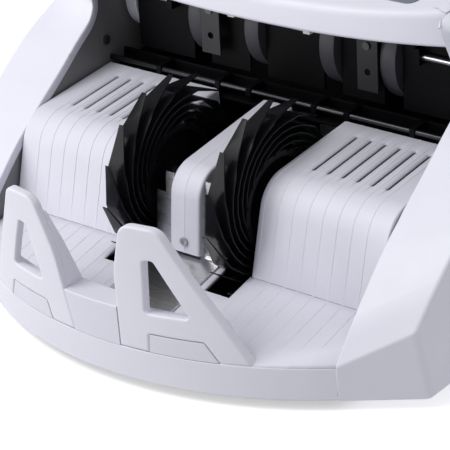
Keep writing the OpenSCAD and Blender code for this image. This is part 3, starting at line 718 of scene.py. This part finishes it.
def cover():
    rows = []
    for i in range(COVER_STEPS + 1):
        x = COVER_HALF * (2 * i / COVER_STEPS - 1)
        y = lip_y(x)
        top = y + 4.2
        # inside of the lip, its lower edge, its face and upper edge, the top, and the rear edge
        profile = [(y + 3.2, 118), (y + 2.6, 112)]
        profile += [tuple(p) for p in bend((y + 2.3, 111.02), (y + 0.1, 111.02), (y + 0.15, 113.0), 3)]
        profile += [tuple(p) for p in bend((y + 0.75, cover_z(top) - 4.6), (y + 0.9, cover_z(top) - 0.9),
                                           (top + 0.6, cover_z(top + 0.6)), 5)]
        profile += [(b, cover_z(b)) for b in (70 + (top - 60) * 0.15, 92, 106.4)]
        profile += [(107.6, cover_z(107.6) - 0.6), (108, cover_z(108) - 1.8), (108, 118)]
        rows.append([(x, a, b) for a, b in profile])
    points, faces = grid(rows)
    piece("head_cover", points, faces, casing, replaces=("top_cover",), thick=2.4, flip=True,
          sharp=40)


cover()

# ---- display panel and its window, on the sloping top ----
COVER_TURN = math.atan(COVER_SLOPE)
PANEL_Y = 81.0


def on_cover(x, u, depth):
    """A point u mm up the slope from the panel's middle and depth mm under the cover's surface."""
    return (x, PANEL_Y + u * math.cos(COVER_TURN) + depth * math.sin(COVER_TURN),
            cover_z(PANEL_Y) + u * math.sin(COVER_TURN) - depth * math.cos(COVER_TURN))


panel_loop = rounded_loop([(-92, -11.3), (92, -11.3), (92, 11.3), (-92, 11.3)], [6] * 4, 6)
points, faces = fence(panel_loop, [], -0.45, 1.2, 0.3, on_cover)
piece("display_bezel", points, faces, panel_grey, replaces=("display_panel",))
glass_loop = rounded_loop([(-60, -7.5), (30, -7.5), (30, 7.5), (-60, 7.5)], [1.5] * 4, 4)
points, faces = fence(glass_loop, [], -0.62, 0.6, 0.12, on_cover)
piece("display_pane", points, faces, glass_dark, replaces=("display_window",))


# ---- bridge and its stainless bracket ----
def bridge():
    """Sheet over the gap between the wheels, with a fine ridge along its middle."""
    path = [Vector((-1.6, 3.3)), Vector((-0.2, 18))]
    path += arc_corner((-1.6, 3.3), (2.5, 45), (74.1, 54.3), 16, 12)
    path += [Vector((39.2, 49.75)), Vector((57, 52.1)), Vector((80, 55))]
    half = [(0.0, 0.30), (0.22, 0.28), (0.5, 0.0), (7.6, 0.0), (8.7, -0.22), (9.22, -0.8), (9.37, -1.7),
            (9.37, -6.0), (7.4, -6.0), (7.4, -2.2)]
    section = half + [(-x, d) for x, d in reversed(half[1:])]
    points, faces = strip(path, section)
    piece("bridge_cap", points, faces, tray_white, replaces=("bridge",), sharp=50)


bridge()


def bracket():
    """Stainless strip along the floor and up behind the bridge, where two arms go on."""
    front = (-51.9, floor_z(-51.9) + 1.3)
    foot = (1.9, floor_z(1.9) + 1.3)
    top = (6.05, 41.9)
    path = [Vector(front), Vector((-25, floor_z(-25) + 1.3))]
    path += arc_corner(front, foot, top, 2.6, 8) + [Vector((4.9, 30.8))]
    section = round_section([(-20.9, 0), (20.9, 0), (20.9, -1), (-20.9, -1)], [0.25] * 4, 2)
    points, faces = strip(path, section)
    piece("bracket_strip", points, faces, stainless, replaces=("bridge_bracket",), sharp=40)
    for side, turn in (("right", 1), ("left", -1)):
        corners = [(turn * 10.1, 0), (turn * 15.2, 0), (turn * 15.2, -1), (turn * 10.1, -1)]
        section = round_section(corners[::turn], [0.2] * 4, 2)
        points, faces = strip([Vector((4.78, 30)), Vector(top)], section)
        piece("bracket_arm_" + side, points, faces, stainless, sharp=40)


bracket()


# ---- stacker wheels ----
FINGERS = 15
FINGER_STEPS = [0.2, 10, 20, 27, 30, 34, 40, 48, 58, 70, 84, 100, 116, 133]   # degrees behind the tip
FLAT_END = 27          # a finger is flat from its tip to here, and wound from here on
TIP_R, ROOT_R = 52.2, 26.4
TIP_HALF, ROOT_HALF = 1.5, 6.7    # half width of a finger at its tip and where it is full
FINGER_MID = 0.55      # from a finger's back to its middle
FIRST_TIP = 179.5
TURN_STEPS = 72


def finger_r(a):
    """Radius of a finger's back, a degrees behind its tip."""
    if a >= FLAT_END:
        return ROOT_R + 21.35 * (1 - a / FINGER_STEPS[-1]) + 4.8 * math.exp(-((a / 22) ** 2))
    r, turn = finger_r(FLAT_END), math.radians(FLAT_END)
    run, rise = r * math.cos(turn) - TIP_R, r * math.sin(turn)
    slope = math.tan(math.radians(a))
    t = slope * TIP_R / (rise - slope * run)
    return math.hypot(TIP_R + t * run, t * rise)


def blade_section(w, t, cut):
    """Outline of a blade of half width w and half thickness t, with its corners cut."""
    half = [(-w, cut - t), (cut - w, -t), (w - cut, -t), (w, cut - t)]
    return half + [(-x, -y) for x, y in half]


def turned(x, r, degrees):
    """A point of the right wheel."""
    a = math.radians(degrees)
    return WHEEL + Vector((x, r * math.cos(a), r * math.sin(a)))


def finger(k):
    """The k-th finger: a blade that widens from its tip and winds in to the drum."""
    rings = []
    for a in FINGER_STEPS:
        w = TIP_HALF + (ROOT_HALF - TIP_HALF) * min(1.0, a / 34)
        t = FINGER_MID if a > 12 else 0.3 + 0.02 * a
        mid = finger_r(a) - FINGER_MID
        angle = FIRST_TIP + a + 360 / FINGERS * k
        rings.append([turned(x, mid + y, angle) for x, y in blade_section(w, t, 0.2)])
    return loft(rings)


def drum():
    """Hub, web and rim, turned round the shaft."""
    side = -ROOT_HALF
    corners = [(side, 4.03), (side, 8), (-1, 8), (-1, 23.5), (side, 23.5), (side, 26.6)]
    corners += [(-x, r) for x, r in reversed(corners)]
    profile = round_section(corners, [0.2] * len(corners), 2)
    rings = [[turned(x, r, 360 / TURN_STEPS * i) for x, r in profile] for i in range(TURN_STEPS + 1)]
    return grid(rings, closed=True)


def stacker_wheel(side, mirror):
    points, faces = joined(*[finger(k) for k in range(FINGERS)], drum())
    piece(side + "_wheel", points, faces, wheel_black, body="stacker_rotor", mirror=mirror,
          replaces=(side + "_stacker_wheel",), sharp=45)


for side, mirror in SIDES:
    stacker_wheel(side, mirror)


# ---- finishes of the CAD nodes that show as they are ----
FINISH = {
    casing: ["rear_cover", "hopper_plate"],
    # the inner sheets take the near-black colour that paints the shade inside the machine
    painted_shade_black: ["base_pan", "exit_comb", "lower_guide", "upper_guide", "head_plate"],
    strap_black: ["separator_straps"],
    plastic_black: ["stacker_pulley", "stacker_motor_pulley", "main_motor_pulley", "power_inlet"],
    # the screws take the darkened metal that paints the shade they sit in
    screw_painted_shade: ["panel_screws"],
    zinc: ["tie_rods", "guide_rods", "stacker_shaft", "counting_shaft", "pickup_shaft",
           "pinch_shaft", "stacker_motor", "main_motor", "bridge_screw"],
    rod_steel_painted_shade: ["exit_rod"],
    # the exit rod takes the darkened steel that paints the shade it sits in
    frame_grey: ["left_side_frame", "right_side_frame"],
    drum_rubber: ["counting_drums", "pickup_rollers", "pinch_rollers"],
    belt_rubber: ["stacker_belt", "pickup_belt", "main_belt"],
    foot_rubber: ["rubber_feet"],
    bronze: ["shaft_bushes"],
    board: ["main_board"],
    iron: ["transformer"],
    lamp_glass: ["uv_lamp"],
    pale_key: ["counting_pulley", "key_restart", "key_function", "key_batch", "adjusting_knob",
               "left_note_guide", "right_note_guide"],
    switch_red: ["power_switch"],
}
EDGE_WIDTH = 0.00025   # metres, of the small bevel on their sharp edges
for finish, names in FINISH.items():
    for name in names:
        node = nodes[name]
        if not node.data.materials:
            node.data.materials.append(finish)
        for one in node.material_slots:
            one.material = finish
        join = node.modifiers.new("join", "WELD")
        join.merge_threshold = WELD
        edge = node.modifiers.new("edges", "BEVEL")
        edge.width = EDGE_WIDTH
        edge.segments = 2
        edge.limit_method = "ANGLE"
        edge.angle_limit = math.radians(45)

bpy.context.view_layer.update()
